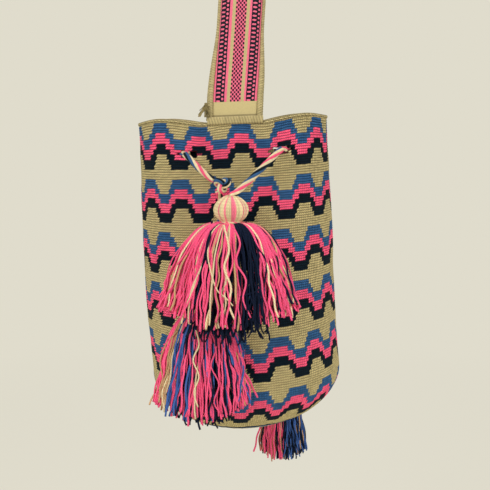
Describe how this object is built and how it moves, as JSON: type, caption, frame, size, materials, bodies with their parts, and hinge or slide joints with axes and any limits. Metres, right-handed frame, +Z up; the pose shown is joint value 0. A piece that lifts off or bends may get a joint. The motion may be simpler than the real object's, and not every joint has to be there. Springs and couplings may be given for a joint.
{
  "type": "drawstring shoulder bag",
  "caption": "Crocheted bucket bag with a wide woven shoulder strap, a knotted two-cord drawstring and yarn tassels, hanging from its strap.",
  "frame": {"origin": "the hang point, under the top of the strap's loop, where a peg or a shoulder bears", "axes": "+Z up along the hanging bag, +X to the wearer's view right across the strap, -Y to the front with the two large tassels"},
  "size_m": [0.2107, 0.2978, 0.9038],
  "materials": {
    "wave_crochet": "tapestry crochet in sand yarn with blue, pink and navy waves",
    "strap_weave": "woven strap in sand yarn with pink and navy stripes",
    "sand_crochet": "plain sand crochet",
    "twisted_cord": "twisted yarn cord in cream, pink and blue",
    "tassel_yarn": "cut yarn in pink, cream, navy and blue",
    "tassel_binding": "wound yarn"
  },
  "bodies": {
    "bag": {"pouch": "wave_crochet", "shoulder_strap": "strap_weave", "strap_edging_left": "sand_crochet", "strap_edging_right": "sand_crochet", "strap_join_front": "sand_crochet", "strap_join_rear": "sand_crochet", "drawstring_run_left": "twisted_cord", "drawstring_run_right": "twisted_cord"},
    "front_ties": {"front_cord_left": "twisted_cord", "front_cord_right": "twisted_cord", "front_knot": "twisted_cord", "front_lower_lead": "twisted_cord"},
    "front_upper_swing": {"front_upper_tassel": "tassel_yarn", "front_upper_tassel_tie": "tassel_binding"},
    "front_lower_swing": {"front_lower_tassel": "tassel_yarn", "front_lower_tassel_tie": "tassel_binding"},
    "rear_ties": {"rear_cord_left": "twisted_cord", "rear_cord_right": "twisted_cord", "rear_knot": "twisted_cord", "rear_lower_lead": "twisted_cord"},
    "rear_upper_swing": {"rear_upper_tassel": "tassel_yarn", "rear_upper_tassel_tie": "tassel_binding"},
    "rear_lower_swing": {"rear_lower_tassel": "tassel_yarn", "rear_lower_tassel_tie": "tassel_binding"}
  },
  "joints": [
    {"name": "front_ties_lift", "type": "hinge", "parent": "bag", "child": "front_ties", "pos_m": [-0.0108, -0.0709, -0.51], "axis": [-0.999, -0.0012, -0.0441], "range_deg": [0, 60]},
    {"name": "front_upper_tassel_swing", "type": "hinge", "parent": "front_ties", "child": "front_upper_swing", "pos_m": [-0.013, -0.103, -0.5485], "axis": [0, 1, 0], "range_deg": [-18, 18]},
    {"name": "front_lower_tassel_swing", "type": "hinge", "parent": "front_ties", "child": "front_lower_swing", "pos_m": [-0.039, -0.1035, -0.634], "axis": [0, 1, 0], "range_deg": [-18, 18]},
    {"name": "rear_ties_lift", "type": "hinge", "parent": "bag", "child": "rear_ties", "pos_m": [-0.0042, 0.0712, -0.5096], "axis": [0.9985, -0.0341, 0.0436], "range_deg": [0, 60]},
    {"name": "rear_upper_tassel_swing", "type": "hinge", "parent": "rear_ties", "child": "rear_upper_swing", "pos_m": [0.031, 0.118, -0.6908], "axis": [0, 1, 0], "range_deg": [-18, 18]},
    {"name": "rear_lower_tassel_swing", "type": "hinge", "parent": "rear_ties", "child": "rear_lower_swing", "pos_m": [0.043, 0.103, -0.7744], "axis": [0, 1, 0], "range_deg": [-18, 18]}
  ]
}
